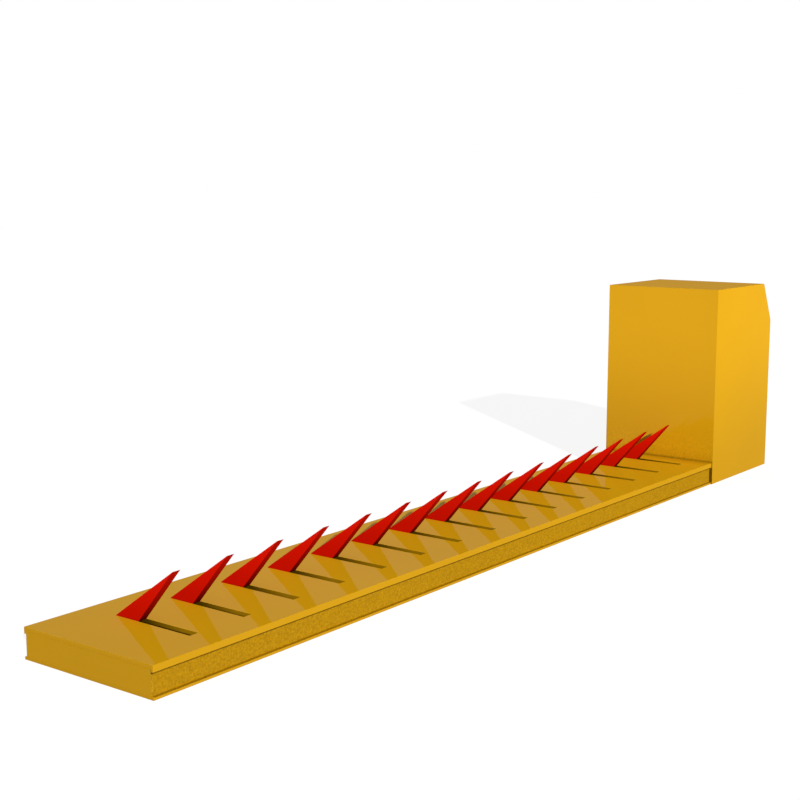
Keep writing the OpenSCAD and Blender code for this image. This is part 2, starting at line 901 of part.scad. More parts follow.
// The cabinet's side outline in X and Z, drawn in by a wall's thickness
module cabinet_side(inset) {
    shoulder_drop = inset * tan((90 - slope) / 2);
    top_draw = inset * tan(slope / 2);
    polygon([
        [cab_x + inset, 0],
        [cab_back_x - inset, 0],
        [cab_back_x - inset, cab_shoulder_z - shoulder_drop],
        [cab_x + cab_top_l - top_draw, cab_h - inset],
        [cab_x + inset, cab_h - inset]
    ]);
}

module cabinet_volume(inset) {
    translate([0, cab_w / 2 - inset, 0])
        rotate([90, 0, 0])
            linear_extrude(cab_w - 2 * inset)
                cabinet_side(inset);
}

module cabinet_shell() {
    window_d = 2 * (bush_r + bush_flange_out + 3);
    color(paint_yellow)
        difference() {
            cabinet_volume(0);
            difference() {
                cabinet_volume(sheet_t);
                block([cab_x, -cab_w / 2, foot_z], [cab_back_x, cab_w / 2, foot_z + sheet_t]);
            }
            block([cab_x + sheet_t, -shell_inner_y, -1],
                  [cab_back_x - sheet_t, shell_inner_y, foot_z]);
            block([cab_x + sheet_t, foot_flange_w - shell_inner_y, -1],
                  [cab_back_x - sheet_t - foot_flange_w, shell_inner_y - foot_flange_w, foot_z + sheet_t + 1]);
            foot_bolt_places()
                cylinder(d = bolt_m8 + 2 * bolt_room, h = foot_z + sheet_t + 1);
            bar_x(cab_x - 1, shaft_y, shaft_z, window_d, sheet_t + 2);
            joining_holes(cab_x - 1, sheet_t + 2, bolt_room);
            block([cab_back_x - sheet_t - 1, -door_w / 2, door_z], [cab_back_x + 1, door_w / 2, door_top_z]);
        }
}

// A rectangular ring round the door opening, grown or shrunk all round
module door_ring(x, t, outer, inner) {
    across(x, t)
        difference() {
            translate([-door_w / 2 - outer, door_z - outer])
                square([door_w + 2 * outer, door_h + 2 * outer]);
            translate([-door_w / 2 - inner, door_z - inner])
                square([door_w + 2 * inner, door_h + 2 * inner]);
        }
}

// The folded frame inside the opening: flange, jamb and ledge for the seal
module door_frame() {
    flange_x = cab_back_x - sheet_t - frame_t;
    ledge_x = cab_back_x - frame_depth;
    color(paint_yellow) {
        door_ring(flange_x, frame_t, frame_flange, 0);
        door_ring(ledge_x, flange_x - ledge_x, frame_t, 0);
        door_ring(ledge_x, frame_t, frame_t, -frame_ledge);
    }
}

module door_seal() {
    color(rubber_black)
        door_ring(cab_back_x - frame_depth + frame_t, seal_t, -door_gap / 2, -door_gap / 2 - seal_w);
}

// The door: a sheet with its four edges folded inward
module cabinet_door() {
    color(paint_yellow)
        difference() {
            union() {
                across(cab_back_x - sheet_t, sheet_t)
                    translate([door_gap - door_w / 2, door_z + door_gap])
                        square([door_w - 2 * door_gap, door_h - 2 * door_gap]);
                door_ring(cab_back_x - door_depth, door_depth, -door_gap, -door_gap - sheet_t);
            }
            bar_x(cab_back_x - sheet_t - 1, lock_y, lock_z, lock_d + 2 * seat_gap, sheet_t + 2);
        }
}

// Two lift-off hinges: the frame's knuckle below, the door's knuckle above
hinge_in = 50;
hinge_z = [door_z + hinge_in, door_top_z - hinge_in - hinge_h];
knuckle_gap = 0.4;
leaf_t = 3;

module hinge_half(z, side, gap) {
    knuckle_h = (hinge_h - knuckle_gap) / 2;
    far_y = hinge_y + side * (knuckle_d / 2 + leaf_w);
    difference() {
        union() {
            translate([hinge_x, hinge_y, z])
                cylinder(d = knuckle_d, h = knuckle_h);
            block([cab_back_x, min(hinge_y, far_y), z],
                  [cab_back_x + leaf_t, max(hinge_y, far_y), z + knuckle_h]);
        }
        translate([hinge_x, hinge_y, z - 1])
            cylinder(d = hinge_pin_d + 2 * gap, h = knuckle_h + 2);
    }
}

module frame_hinge_leaves() {
    color(bare_steel)
        for (z = hinge_z)
            hinge_half(z, 1, seat_gap);
}

module door_hinge_leaves() {
    color(bare_steel)
        for (z = hinge_z)
            hinge_half(z + (hinge_h + knuckle_gap) / 2, -1, run_gap);
}

module hinge_pins() {
    color(dark_steel)
        for (z = hinge_z)
            translate([hinge_x, hinge_y, z])
                cylinder(d = hinge_pin_d, h = hinge_h);
}

// The lock's barrel through the door, with its flange outside
lock_back_x = cab_back_x - frame_depth - 1;
lock_flange_t = 3;

module lock_barrel() {
    color(bare_steel)
        difference() {
            union() {
                bar_x(lock_back_x, lock_y, lock_z, lock_d, cab_back_x - lock_back_x);
                bar_x(cab_back_x, lock_y, lock_z, lock_d + 8, lock_flange_t);
            }
            bar_x(lock_back_x - 1, lock_y, lock_z, 2 * (plug_r + run_gap),
                  cab_back_x - lock_back_x + lock_flange_t + 2);
        }
}

// The turning plug and its cam, which hangs down while the lock is open
module lock_cam() {
    plug_front_x = cab_back_x + lock_flange_t;
    key_w = 3;
    key_h = plug_r;
    cam_gap = 0.3;
    cam_x = lock_back_x - cam_gap - cam_t;
    color(bare_steel)
        difference() {
            union() {
                bar_x(cam_x, lock_y, lock_z, 2 * plug_r, plug_front_x - cam_x);
                translate([cam_x, lock_y, lock_z])
                    strap(cam_t, cam_w / 2 - cam_l, cam_w / 2, 0, cam_w / 2);
            }
            block([plug_front_x - 4, lock_y - key_w / 2, lock_z - key_h / 2],
                  [plug_front_x + 1, lock_y + key_w / 2, lock_z + key_h / 2]);
        }
}

function spike_name(i) = str("spike_", i < 10 ? "0" : "", i);
function bearing_name(i) = str("bearing_plate_", i);

base_plate();
near_rail();
far_rail();
end_plate();
drive_end_plate();
for (i = [1 : bearing_count]) bearing_plate(i);
cover_ribs();
cover_plate();
cover_screws();
shaft_bushes();
spike_shaft();
for (i = [1 : spike_count]) spike(i);
cross_pins();
shaft_collars();
crank_lever();
actuator_ram();
ram_fork();
drive_pin();
pin_clips();
actuator_tube();
actuator_gearbox();
actuator_motor();
actuator_bracket();
tube_saddle();
sensor_bracket();
position_sensors();
control_box();
control_lid();
cable_glands();
cabinet_base();
cabinet_shell();
shell_bolts();
joining_bolts();
door_frame();
door_seal();
frame_hinge_leaves();
hinge_pins();
cabinet_door();
door_hinge_leaves();
lock_barrel();
lock_cam();
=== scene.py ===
# %% [markdown]
# # A tyre spike strip in gloss paint
# The strip lies across a lane: a low steel box with fifteen slots, a row of red
# spikes on one shaft, and a drive cabinet at its far end. The construction model
# gives every size and every joint. This lesson gives it its paint, its softened
# edges and its light. Everything is in metres.

import json
from math import acos, atan2, cos, hypot, pi, radians, sin, tan

import bmesh
import bpy
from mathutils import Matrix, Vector

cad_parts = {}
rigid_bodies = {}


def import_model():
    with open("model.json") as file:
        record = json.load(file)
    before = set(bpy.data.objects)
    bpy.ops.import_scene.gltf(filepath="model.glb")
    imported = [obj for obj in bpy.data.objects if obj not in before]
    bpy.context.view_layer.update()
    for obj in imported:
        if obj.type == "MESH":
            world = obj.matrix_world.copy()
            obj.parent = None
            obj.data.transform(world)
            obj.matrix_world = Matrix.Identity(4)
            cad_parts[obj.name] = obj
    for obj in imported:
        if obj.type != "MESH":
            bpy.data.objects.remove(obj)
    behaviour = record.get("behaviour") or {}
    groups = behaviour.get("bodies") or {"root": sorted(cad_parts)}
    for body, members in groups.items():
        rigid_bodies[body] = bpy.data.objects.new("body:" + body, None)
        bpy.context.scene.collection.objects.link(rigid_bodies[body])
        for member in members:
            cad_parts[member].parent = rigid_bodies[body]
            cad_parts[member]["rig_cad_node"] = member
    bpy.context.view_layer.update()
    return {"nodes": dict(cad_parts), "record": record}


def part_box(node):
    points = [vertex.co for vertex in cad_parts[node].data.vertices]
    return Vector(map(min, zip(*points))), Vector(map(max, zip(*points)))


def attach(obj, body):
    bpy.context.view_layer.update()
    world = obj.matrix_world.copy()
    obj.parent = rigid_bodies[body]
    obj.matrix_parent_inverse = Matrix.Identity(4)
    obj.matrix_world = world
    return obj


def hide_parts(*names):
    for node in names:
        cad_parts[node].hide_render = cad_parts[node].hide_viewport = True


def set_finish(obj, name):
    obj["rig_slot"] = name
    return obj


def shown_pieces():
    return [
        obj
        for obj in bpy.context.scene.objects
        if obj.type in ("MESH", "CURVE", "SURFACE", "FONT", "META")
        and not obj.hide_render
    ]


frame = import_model()

# %% [markdown]
# ## The camera
# The photograph was taken from beyond the strip's free end, a little above its
# cover, with a long lens. The camera's place and lens were solved from corners
# that can be seen in it, so the strip runs into the depth as it does there.

# %% The photographer's place
camera_data = bpy.data.cameras.new("camera")
camera_data.lens = 62.466
camera_data.sensor_width = 36
camera = bpy.data.objects.new("camera", camera_data)
camera.location = (-4.0417, -2.6837, 1.2377)
camera.rotation_euler = (radians(81.236), 0, radians(-52.539))
bpy.context.collection.objects.link(camera)
bpy.context.scene.camera = camera
print("camera at", tuple(round(c, 3) for c in camera.location))

# %% [markdown]
# ## Sizes from the construction model
# Each new piece stands where its construction solid stands, so the sizes are
# read from those solids' boxes and only the few that a box can't give are typed.

# %% Sizes of the strip
deck_low, deck_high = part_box("cover_plate")
base_low, base_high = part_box("base_plate")
web_low, web_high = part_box("near_rail")
far_web_low, far_web_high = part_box("far_rail")
end_low, end_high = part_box("end_plate")
door_low, door_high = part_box("cabinet_door")
back_x, half_w, roof_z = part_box("cabinet_shell")[1]
STRIP_X = deck_low.x
CABINET_X = deck_high.x
SPIKES = [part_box("spike_%02d" % number)[0].x for number in range(1, 16)]
PITCH = 0.2
BLADE_T = 0.0275
COVER_T = 0.012
LIP_W = 0.0075
print("strip", round(CABINET_X - STRIP_X, 3), "m long,", len(SPIKES), "spikes")

# %% [markdown]
# ## Modelling helpers
# An operator works on whatever is selected, and the loaded solids are selected,
# so each helper first picks the one piece that it works on. Faces and edges are
# then picked in code by where they lie or which way they face.


# %% One piece at a time
def choose(*pieces):
    if bpy.context.mode != "OBJECT":
        bpy.ops.object.mode_set(mode="OBJECT")
    bpy.ops.object.select_all(action="DESELECT")
    for piece in pieces:
        piece.select_set(True)
    bpy.context.view_layer.objects.active = pieces[0]


def pick(piece, kind, wanted):
    """Opens the piece for editing with only its wanted faces or verts selected."""
    choose(piece)
    bpy.ops.object.mode_set(mode="EDIT")
    bpy.ops.mesh.select_mode(type={"faces": "FACE", "verts": "VERT"}[kind])
    bpy.ops.mesh.select_all(action="DESELECT")
    mesh = bmesh.from_edit_mesh(piece.data)
    for part in getattr(mesh, kind):
        if wanted(part):
            part.select_set(True)
    mesh.select_flush_mode()
    bmesh.update_edit_mesh(piece.data)


def done(piece):
    """Closes the edit and puts the piece's place into its mesh."""
    choose(piece)
    bpy.ops.object.transform_apply(location=True, rotation=True, scale=True)
    return piece


print("ways to choose a piece, pick its parts and close its edit")


# %% Starting shapes
def slab(name, low, high):
    """A block between two corners."""
    choose(camera)
    low, high = Vector(low), Vector(high)
    bpy.ops.mesh.primitive_cube_add(size=1, location=(low + high) / 2, scale=high - low)
    bpy.context.object.name = name
    return done(bpy.context.object)


def rod(name, start, end, radius, sides=48):
    """A round bar between two points."""
    choose(camera)
    start, end = Vector(start), Vector(end)
    turn = (end - start).to_track_quat("Z", "Y").to_euler()
    bpy.ops.mesh.primitive_cylinder_add(vertices=sides, radius=radius, depth=(end - start).length,
                                        location=(start + end) / 2, rotation=turn)
    bpy.context.object.name = name
    return done(bpy.context.object)


def profile(name, corners, way):
    """A flat outline whose corners are moved into place one by one, drawn out along way."""
    choose(camera)
    bpy.ops.mesh.primitive_circle_add(vertices=len(corners), radius=0.01, fill_type="NGON")
    piece = bpy.context.object
    piece.name = name
    for number, corner in enumerate(corners):
        pick(piece, "verts", lambda vert: vert.index == number)
        vert = next(v for v in bmesh.from_edit_mesh(piece.data).verts if v.select)
        bpy.ops.transform.translate(value=Vector(corner) - vert.co)
    bpy.ops.mesh.select_all(action="SELECT")
    bpy.ops.mesh.extrude_region_move(TRANSFORM_OT_translate={"value": way})
    bpy.ops.mesh.select_all(action="SELECT")
    bpy.ops.mesh.normals_make_consistent(inside=False)
    return done(piece)


print("starting shapes: slab, rod and profile")


# %% Cutting and joining
def apply_change(piece, kind, **settings):
    choose(piece)
    change = piece.modifiers.new(kind.lower(), kind)
    for setting, value in settings.items():
        setattr(change, setting, value)
    bpy.ops.object.modifier_apply(modifier=change.name)


def combine(piece, operation, *tools):
    for tool in tools:
        apply_change(piece, "BOOLEAN", operation=operation, object=tool, solver="EXACT")
        bpy.data.objects.remove(tool)


def cut(piece, *tools):
    combine(piece, "DIFFERENCE", *tools)


def drill(piece, start, end, radius, sides=48):
    """A round hole between two points that both lie outside the wall."""
    cut(piece, rod("drill", start, end, radius, sides))


PAST = 0.01
print("a cutter reaches", PAST, "m past the wall that it cuts")


# %% Softened edges
def round_edges(piece, width, sharp=30):
    """Rounds the sharp edges, so that each one catches a thin line of light. The clamp keeps
    roundings from crossing, and one narrow spot holds back a whole piece: on the spikes, the
    cabinet, the far web and the crank lever it leaves almost no rounding at all."""
    apply_change(piece, "BEVEL", width=width, segments=2, limit_method="ANGLE",
                 angle_limit=radians(sharp), use_clamp_overlap=True)
    choose(piece)
    bpy.ops.object.shade_smooth_by_angle(angle=radians(50))


def flatten(piece):
    """Faces beside a rounded edge stay flat to the light, because the larger face rules the shading."""
    apply_change(piece, "WEIGHTED_NORMAL", keep_sharp=True, weight=80)


def soften(piece, width, sharp=30):
    round_edges(piece, width, sharp)
    flatten(piece)
    return piece


slot_of = {row["node"]: row["material_slot"] for row in frame["record"]["subparts"]}


def stand_for(piece, body, node):
    """The piece rides on its body in place of the construction solid, with its finish."""
    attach(piece, body)
    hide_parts(node)
    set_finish(piece, slot_of[node])
    print(piece.name, "stands for", node, "with", len(piece.data.polygons), "faces")


print("edges are rounded in two steps")

# %% [markdown]
# ## The cover
# The cover is one thick plate with a shallow lip down each long edge, and a slot
# for each spike. It starts as a slab, which is divided near both long edges, and
# the two outer strips of its underside are drawn down into lips. Separate bars
# for the lips would leave a seam that the real plate doesn't have. The same
# block then cuts a slot at every spike, so that all fifteen are alike.

# %% The slab and its lips
deck = slab("deck", (STRIP_X, deck_low.y, deck_high.z - COVER_T), (CABINET_X, deck_high.y, deck_high.z))
lip_y, lip_drop = deck_high.y - LIP_W, deck_low.z - deck_high.z + COVER_T
for side in (-1, 1):
    pick(deck, "faces", lambda face: True)
    bpy.ops.mesh.bisect(plane_co=(0, side * lip_y, 0), plane_no=(0, 1, 0))
for side in (-1, 1):
    pick(deck, "faces", lambda face: face.normal.z < -0.9
         and side * face.calc_center_median().y > lip_y)
    bpy.ops.mesh.extrude_region_move(TRANSFORM_OT_translate={"value": (0, 0, lip_drop)})
print("lips hang to z", round(min(v.co.z for v in bmesh.from_edit_mesh(deck.data).verts), 4))

# %% The slots
SLOT_GAP = 0.001
SLOT_Y = (-0.1544, 0.1325)
SLOT_Z = (deck_high.z - 0.05, deck_high.z + 0.05)
for x in SPIKES:
    cut(deck, slab("slot_cutter", (x - SLOT_GAP, SLOT_Y[0], SLOT_Z[0]),
                   (x + BLADE_T + SLOT_GAP, SLOT_Y[1], SLOT_Z[1])))
soften(deck, 0.0009)
stand_for(deck, "frame", "cover_plate")

# %% [markdown]
# ## The webs, the base and the end
# Flat bars on edge stand back under the lips, the base plate runs the full
# width, and a plate closes the free end. They are cut from bar, so they are
# slabs whose edges are broken by a file. The base plate is drilled for the
# studs that hold it to the road, and the far web for the cover's screws. Their
# holes lie in the gaps between the spikes.

# %% Flat bars and plates
near_web = soften(slab("near_web", web_low, web_high), 0.0006)
stand_for(near_web, "frame", "near_rail")
end_face = soften(slab("end_face", end_low, end_high), 0.0004)
stand_for(end_face, "frame", "end_plate")


# %% The base plate and its holes
def gap_middle(gap):
    """Halfway between the spike with this number and the next one."""
    return SPIKES[0] + BLADE_T / 2 + PITCH / 2 + PITCH * (gap - 1)


ANCHOR_GAPS = (2, 5, 7, 8, 10, 13)
ANCHOR_X, ANCHOR_Y, ANCHOR_R = 0.045, 0.15, 0.009
ANCHOR_DRILL_Z = (-PAST, 0.03)
ground_plate = slab("ground_plate", base_low, base_high)
for gap in ANCHOR_GAPS:
    x = gap_middle(gap) + ANCHOR_X
    for y in (-ANCHOR_Y, ANCHOR_Y):
        drill(ground_plate, (x, y, ANCHOR_DRILL_Z[0]), (x, y, ANCHOR_DRILL_Z[1]), ANCHOR_R)
soften(ground_plate, 0.0008)
stand_for(ground_plate, "frame", "base_plate")

# %% The far web and its screw holes
RIB_GAPS = (1, 2, 4, 5, 7, 8, 10, 11, 13, 14)
SCREW_Z, SCREW_R = 0.022, 0.003
far_web = slab("far_web", far_web_low, far_web_high)
for gap in RIB_GAPS:
    x = gap_middle(gap)
    drill(far_web, (x, far_web_low.y - PAST, SCREW_Z), (x, far_web_high.y + PAST, SCREW_Z), SCREW_R)
soften(far_web, 0.0006)
stand_for(far_web, "frame", "far_rail")

# %% [markdown]
# ## The spikes
# A spike is flame-cut from thick plate: a leaning blade, a shoulder that stays
# under the cover and an arm to the hub. It is drawn once as an outline, given
# its thickness, joined to its hub and bored, and then copied fourteen times. The
# outline follows from the lean, the rise and the shaft's place, because those
# are what can be measured.

# %% The blade's outline
SHAFT_Y, SHAFT_Z = 0.195, 0.052
HUB_R, HUB_L, BORE_R = 0.023, 0.045, 0.01602
PIN_R, PIN_DRILL_Z = 0.00402, (0.02, 0.09)
ARM_R = HUB_R - 0.002
BACK_Y, ROOT_W, LEAN, RISE = 0.1315, 0.09, 0.226, 0.159
reach_y, reach_z = BACK_Y - ROOT_W - SHAFT_Y, deck_high.z - SHAFT_Z
touch = atan2(reach_z, reach_y) + acos(ARM_R / hypot(reach_y, reach_z))
outline = [
    (BACK_Y - LEAN, deck_high.z + RISE),
    (BACK_Y, deck_high.z),
    (BACK_Y, SHAFT_Z + ARM_R),
    (SHAFT_Y, SHAFT_Z + ARM_R),
    (SHAFT_Y, SHAFT_Z),
    (SHAFT_Y + ARM_R * cos(touch), SHAFT_Z + ARM_R * sin(touch)),
    (BACK_Y - ROOT_W, deck_high.z),
]
print("blade leans", round(LEAN, 3), "m and rises", RISE, "m")

# %% One spike, and its fourteen copies
first = SPIKES[0]
blade = profile("blade_01", [(first, y, z) for y, z in outline], (BLADE_T, 0, 0))
hub = rod("hub", (first, SHAFT_Y, SHAFT_Z), (first + HUB_L, SHAFT_Y, SHAFT_Z), HUB_R)
combine(blade, "UNION", hub)
drill(blade, (first - PAST, SHAFT_Y, SHAFT_Z), (first + HUB_L + PAST, SHAFT_Y, SHAFT_Z), BORE_R)
pin_x = first + (BLADE_T + HUB_L) / 2
drill(blade, (pin_x, SHAFT_Y, PIN_DRILL_Z[0]), (pin_x, SHAFT_Y, PIN_DRILL_Z[1]), PIN_R, 24)
round_edges(blade, 0.0007)
blades = [blade]
for number, x in enumerate(SPIKES[1:], 2):
    choose(blade)
    bpy.ops.object.duplicate()
    copy = bpy.context.object
    copy.name = "blade_%02d" % number
    copy.location.x = x - first
    blades.append(done(copy))
for number, piece in enumerate(blades, 1):
    flatten(piece)
    stand_for(piece, "spike_rotor", "spike_%02d" % number)

# %% [markdown]
# ## The cabinet
# The cabinet is folded from sheet steel: its side view is a rectangle whose back
# leans in towards the top. The outline is drawn out over the width, and a smaller
# copy is taken out of it, which leaves a sheet of one thickness all round, the
# slope too. The foot is turned inward on three sides for the bolts, and the back
# wall is open for the door.

# %% The folded box
SHEET, SHOULDER_Z, ROOF_L = 0.003, 0.652, 0.468
FOOT_Z, FOOT_W, ABOVE_FOOT = 0.008, 0.025, 0.02
slope = atan2(roof_z - SHOULDER_Z, back_x - CABINET_X - ROOF_L)
inner = half_w - SHEET


def side_view(inset, low_z, y):
    """The cabinet's outline from the side, drawn in by inset and standing on low_z."""
    drop, draw = inset * tan((pi / 2 - slope) / 2), inset * tan(slope / 2)
    return [(CABINET_X + inset, y, low_z), (back_x - inset, y, low_z),
            (back_x - inset, y, SHOULDER_Z - drop),
            (CABINET_X + ROOF_L - draw, y, roof_z - inset), (CABINET_X + inset, y, roof_z - inset)]


cabinet = profile("cabinet_body", side_view(0, 0, half_w), (0, -2 * half_w, 0))
cut(cabinet,
    profile("inside", side_view(SHEET, FOOT_Z + SHEET, inner), (0, -2 * inner, 0)),
    slab("under_foot", (CABINET_X + SHEET, -inner, -PAST), (back_x - SHEET, inner, FOOT_Z)),
    slab("between_feet", (CABINET_X + SHEET, FOOT_W - inner, 0),
         (back_x - SHEET - FOOT_W, inner - FOOT_W, ABOVE_FOOT)))
print("cabinet", len(cabinet.data.polygons), "faces")

# %% Its openings
DOORWAY_Y, DOORWAY_Z = 0.21, (0.06, 0.62)
SHAFT_WINDOW_R = 0.027
JOINING_Y, JOINING_Z, JOINING_R = (-0.19, -0.08, 0.03, 0.14), 0.043, 0.0065
FOOT_HOLE_X, FOOT_HOLE_R = 0.06, 0.0045
cut(cabinet, slab("doorway", (back_x - PAST, -DOORWAY_Y, DOORWAY_Z[0]),
                  (back_x + PAST, DOORWAY_Y, DOORWAY_Z[1])))
drill(cabinet, (CABINET_X - PAST, SHAFT_Y, SHAFT_Z), (CABINET_X + PAST, SHAFT_Y, SHAFT_Z), SHAFT_WINDOW_R)
for y in JOINING_Y:
    drill(cabinet, (CABINET_X - PAST, y, JOINING_Z), (CABINET_X + PAST, y, JOINING_Z), JOINING_R, 24)
for x in (CABINET_X + FOOT_HOLE_X, (CABINET_X + back_x) / 2, back_x - FOOT_HOLE_X):
    for side in (-1, 1):
        y = side * (inner - FOOT_W / 2)
        drill(cabinet, (x, y, 0), (x, y, ABOVE_FOOT), FOOT_HOLE_R, 24)
soften(cabinet, 0.0012)
stand_for(cabinet, "frame", "cabinet_shell")

# %% [markdown]
# ## The door
# The door is a tray: one sheet whose four edges are folded inward. It starts as
# a slab, its inner face is inset by the sheet's thickness, and the middle is
# pushed outward until only the sheet is left. The lock's hole is drilled last.

# %% The tray
LOCK_Y, LOCK_Z, LOCK_R = -0.172, 0.34, 0.01102
door = slab("door_leaf", door_low, door_high)
pick(door, "faces", lambda face: face.normal.x < -0.9)
bpy.ops.mesh.inset(thickness=SHEET, depth=0)
bpy.ops.transform.translate(value=(door_high.x - door_low.x - SHEET, 0, 0))
drill(door, (back_x - PAST, LOCK_Y, LOCK_Z), (back_x + PAST, LOCK_Y, LOCK_Z), LOCK_R)
soften(door, 0.0009)
stand_for(door, "door", "cabinet_door")

# %% [markdown]
# ## The pieces inside
# The drive, the control box and the fittings keep their construction shapes,
# because they are only seen through the open door or from close by. Each is
# copied, its loose triangles are merged, flat areas become whole faces again,
# and the edges are softened as a machinist would break them.


# %% Softened copies
def soften_copy(node, body, width):
    piece = bpy.data.objects.new(node + "_finished", frame["nodes"][node].data.copy())
    piece.data.materials.clear()
    bpy.context.collection.objects.link(piece)
    pick(piece, "verts", lambda vert: True)
    bpy.ops.mesh.remove_doubles(threshold=0.00001)
    bpy.ops.mesh.dissolve_limited(angle_limit=radians(1))
    soften(done(piece), width, sharp=40)
    stand_for(piece, body, node)


EDGE_WIDTHS = {
    "frame": {"actuator_gearbox": 0.001, "actuator_motor": 0.0008, "actuator_bracket": 0.0008,
              "tube_saddle": 0.0008, "sensor_bracket": 0.0006, "control_box": 0.0008,
              "control_lid": 0.002, "door_frame": 0.0005, "door_seal": 0.0015,
              "frame_hinge_leaves": 0.0005, "joining_bolts": 0.0005, "shell_bolts": 0.0004,
              "cover_screws": 0.0004, "cabinet_base": 0.0008},
    "spike_rotor": {"crank_lever": 0.0008},
    "ram": {"ram_fork": 0.0008},
    "door": {"door_hinge_leaves": 0.0005, "lock_barrel": 0.0006},
    "lock": {"lock_cam": 0.0004},
}
for body, widths in EDGE_WIDTHS.items():
    for node, width in widths.items():
        soften_copy(node, body, width)

# %% [markdown]
# ## Writing finishes as arithmetic
# A finish is a small calculation on where a point lies on its piece. A wrapper
# round a socket lets that calculation be written with plus, times and less than.


# %% Shader arithmetic
class Wire:
    """One output in a finish, which can be added to, taken from, multiplied and compared."""

    def __init__(self, tree, socket=None):
        self.tree, self.socket = tree, socket

    def node(self, kind, settings=None, values=None, out=0):
        made = self.tree.nodes.new("ShaderNode" + kind)
        for setting, value in (settings or {}).items():
            setattr(made, setting, value)
        for name, value in (values or {}).items():
            if isinstance(value, Wire):
                self.tree.links.new(value.socket, made.inputs[name])
            else:
                made.inputs[name].default_value = value
        return Wire(self.tree, made.outputs[out] if made.outputs else None)

    def maths(self, operation, *values):
        return self.node("Math", {"operation": operation}, dict(enumerate(values)))

    def __add__(self, other):
        return self.maths("ADD", self, other)

    def __sub__(self, other):
        return self.maths("SUBTRACT", self, other)

    def __rsub__(self, other):
        return self.maths("SUBTRACT", other, self)

    def __mul__(self, other):
        return self.maths("MULTIPLY", self, other)

    __radd__, __rmul__ = __add__, __mul__

    def __lt__(self, other):
        return self.maths("LESS_THAN", self, other)

    def __gt__(self, other):
        return self.maths("GREATER_THAN", self, other)

    def __abs__(self):
        return self.maths("ABSOLUTE", self)


print("a wire takes + - * < > and abs")


# %% Patterns that the finishes share
def part_of(vector, axis):
    """A place's or a facing's X, Y or Z."""
    return vector.node("SeparateXYZ", values={"Vector": vector}, out=axis)


def noise(place, scale, detail=3.0):
    """Soft clouds between 0 and 1, with scale of them to the metre."""
    return place.node("TexNoise", values={"Vector": place, "Scale": scale, "Detail": detail})


def fade(value, start, stop, first, last, shape="LINEAR"):
    """first where the value is start and last where it is stop, and level beyond both."""
    return value.node("MapRange", {"interpolation_type": shape}, {
        "Value": value, "From Min": start, "From Max": stop, "To Min": first, "To Max": last})


def tint(colour, tone):
    """The colour made darker or lighter by the tone."""
    return tone.node("VectorMath", {"operation": "SCALE"}, {0: colour, "Scale": tone})


def relief(height, strength, depth):
    return height.node("Bump", values={"Strength": strength, "Distance": depth, "Height": height},
                       out="Normal")


def new_finish(name):
    material = bpy.data.materials.new(name)
    material.use_nodes = True
    material.node_tree.nodes.clear()
    return material, Wire(material.node_tree)


print("patterns: noise, fades, tints and relief")

# %% [markdown]
# ## Gloss paint
# Both paints are sprayed enamel: nearly smooth, with a fine orange peel that
# only shows in a reflection, a slow drift of tone where the coats overlap, and
# low down a dusty layer with painted shade. On the webs under the lips the coat is
# dry and grainy, as overspray leaves it, and darker by painted shade. The enamel
# is one finish with a few settings, and a piece with darker places of its own
# hands it one more calculation, which gives 1 where the coat is plain and less
# where painted shade or grime darkens it.


# %% Darker places on a coat
def looks_along(facing, axis):
    """1 on the faces that look along the axis, either way, and 0 on the others."""
    return abs(part_of(facing, axis)) > 0.5


def shade_band(place, start, stop, tone):
    """1 at the height start, falling to tone at the height stop."""
    return fade(part_of(place, "Z"), start, stop, 1.0, tone)


def deck_shade(place, facing):
    """Painted shade in the slots, darkest at the spike's foot, and on the top by the cabinet."""
    zone_y, end_margin = 0.2, 0.01
    x, y = part_of(place, "X"), part_of(place, "Y")
    upright = 1 - looks_along(facing, "Z")
    in_slot = upright * (abs(y) < zone_y) * (x > STRIP_X + end_margin) * (x < CABINET_X - end_margin)
    # painted shade: slot walls darker towards the spike, and the cover's top darker at the cabinet
    wall = fade(y, -0.1, 0.04, 0.5, 0.12)
    contact_shade = fade(x, CABINET_X - 0.08, CABINET_X, 0.0, 0.25)
    return (1 - in_slot * (1 - wall)) * (1 - (1 - upright) * contact_shade)


def cut_edge_scale_and_shade(place, facing):
    """Flame-cut edges: a thin coat over scale, and painted shade that deepens towards the foot."""
    tip_tone, foot_shade = 0.86, 0.4
    edge = 1 - looks_along(facing, "X")
    # painted shade from the tip down to the foot, times the scale's own slight darkening, tip_tone
    scale = shade_band(place, deck_high.z + RISE, deck_high.z, foot_shade) * tip_tone
    return 1 - edge * (1 - scale)


def web_corner_shade(place, facing):
    """Painted shade under the lip and along the base plate."""
    under_lip_shade = shade_band(place, deck_low.z - 0.008, deck_low.z - 0.0035, 0.1)
    return under_lip_shade * shade_band(place, base_high.z + 0.004, base_high.z, 0.75)


def ledge_shade(place, facing):
    """Painted shade on the base plate's top, but not on its edge in the end face."""
    contact_shade = shade_band(place, base_high.z - 0.0012, base_high.z - 0.0004, 0.5)
    return 1 - (part_of(place, "X") > STRIP_X + 0.004) * (1 - contact_shade)


DRY_SCALE, DRY_GRAIN = 170.0, 0.9


def end_side_shade(place, facing):
    """The end plates' side faces: the rails' dry grainy coat, and painted shade as on the webs."""
    # the grain is the coat's own, and its level of 0.72 is painted shade under the lip
    grain = (noise(place, DRY_SCALE) - 0.5) * DRY_GRAIN + 0.72
    return 1 - looks_along(facing, "Y") * (1 - web_corner_shade(place, facing) * grain)


